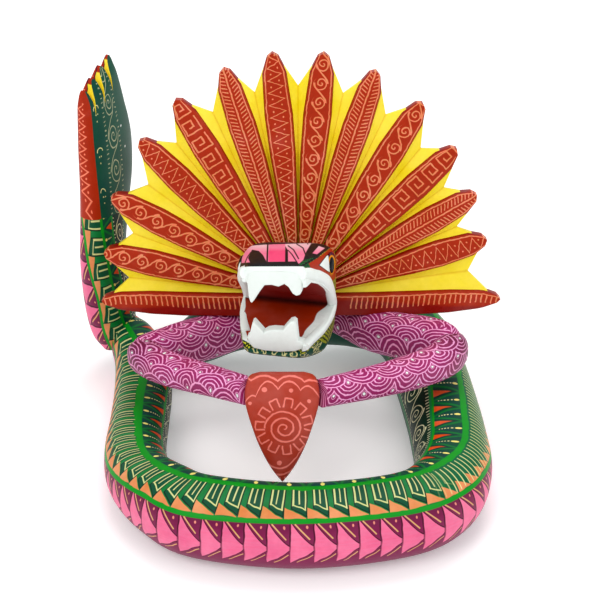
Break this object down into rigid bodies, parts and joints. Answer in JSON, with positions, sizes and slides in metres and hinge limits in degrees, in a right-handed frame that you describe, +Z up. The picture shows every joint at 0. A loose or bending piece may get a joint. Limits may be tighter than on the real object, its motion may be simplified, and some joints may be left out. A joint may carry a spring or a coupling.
{
  "type": "carved wooden alebrije serpent figure",
  "caption": "Carved and painted wooden feathered serpent in a coil, with an open mouth, a fan crest, bent arms that hold a shield, and an upright tail.",
  "frame": {"origin": "on the surface that the figure stands on, under the middle of its bounding box", "axes": "+Z up, the face looks along -Y, the tail stands at -X +Y"},
  "size_m": [0.231, 0.2208, 0.1972],
  "materials": {
    "serpent_paint": "satin painted wood, green with fine line ornament",
    "feather_paint": "satin painted wood, red-brown feathers with yellow between them",
    "arm_paint": "satin painted wood, purple with pink circles",
    "shield_paint": "satin painted wood, red-brown with a coral spiral"
  },
  "bodies": {
    "root": {"serpent_body": "serpent_paint", "feather_crest": "feather_paint", "arm_left": "arm_paint", "arm_right": "arm_paint", "shield": "shield_paint"}
  },
  "joints": []
}
